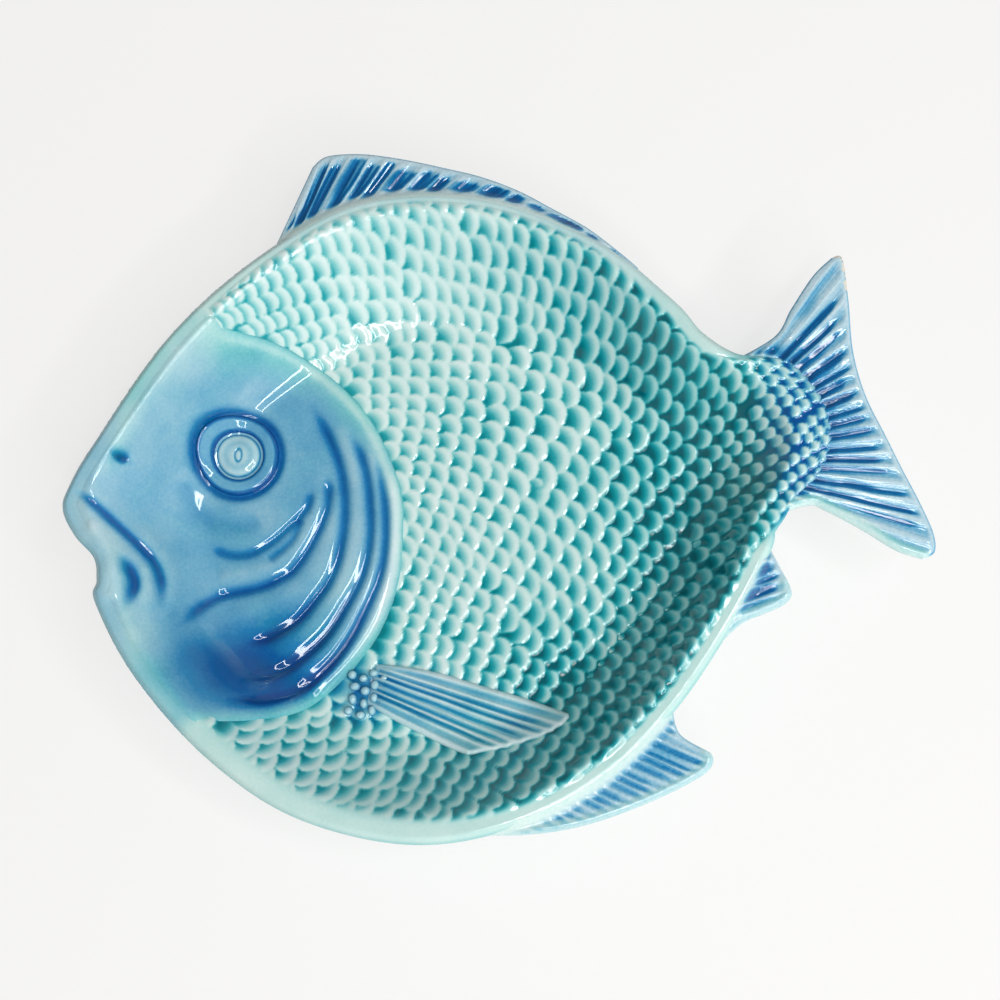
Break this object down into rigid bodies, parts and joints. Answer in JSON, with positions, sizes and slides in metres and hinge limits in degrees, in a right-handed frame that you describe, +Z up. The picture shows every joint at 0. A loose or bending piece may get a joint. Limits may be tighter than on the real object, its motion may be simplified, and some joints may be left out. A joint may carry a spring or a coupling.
{
  "type": "fish shaped platter",
  "caption": "Deep glazed earthenware serving dish shaped like a flat round fish, with a scaled well, a raised blue head and side fin, and ribbed outer fins.",
  "frame": {"origin": "middle of the bounding box in plan, on the plane of the foot ring's resting face", "axes": "+Z up out of the open well; +X towards the tail, along the dish's length; +Y towards the back fin"},
  "size_m": [0.2998, 0.249, 0.0484],
  "materials": {
    "celadon_glaze": "glossy pale celadon glaze over white earthenware, thin on the rim",
    "sea_green_glaze": "glossy translucent sea green glaze, pale on the free edges of the scales and dark where it pools behind them",
    "blue_glaze": "glossy translucent blue glaze, deep blue in the grooves",
    "deep_blue_glaze": "glossy translucent blue glaze, dark between the rays and pale on them",
    "bare_clay": "unglazed cream clay, fine and matt"
  },
  "bodies": {
    "root": {"bowl": "celadon_glaze", "foot_ring": "bare_clay", "head_plate": "blue_glaze", "gill_ridges": "blue_glaze", "cheek_folds": "blue_glaze", "lips": "blue_glaze", "eye_ring": "blue_glaze", "eyeball": "celadon_glaze", "flank_scales": "sea_green_glaze", "nape_scales": "sea_green_glaze", "throat_scales": "sea_green_glaze", "side_fin": "blue_glaze", "side_fin_beads": "blue_glaze", "back_fin": "deep_blue_glaze", "tail_fin": "deep_blue_glaze", "vent_fin": "deep_blue_glaze", "belly_fin": "deep_blue_glaze"}
  },
  "joints": []
}
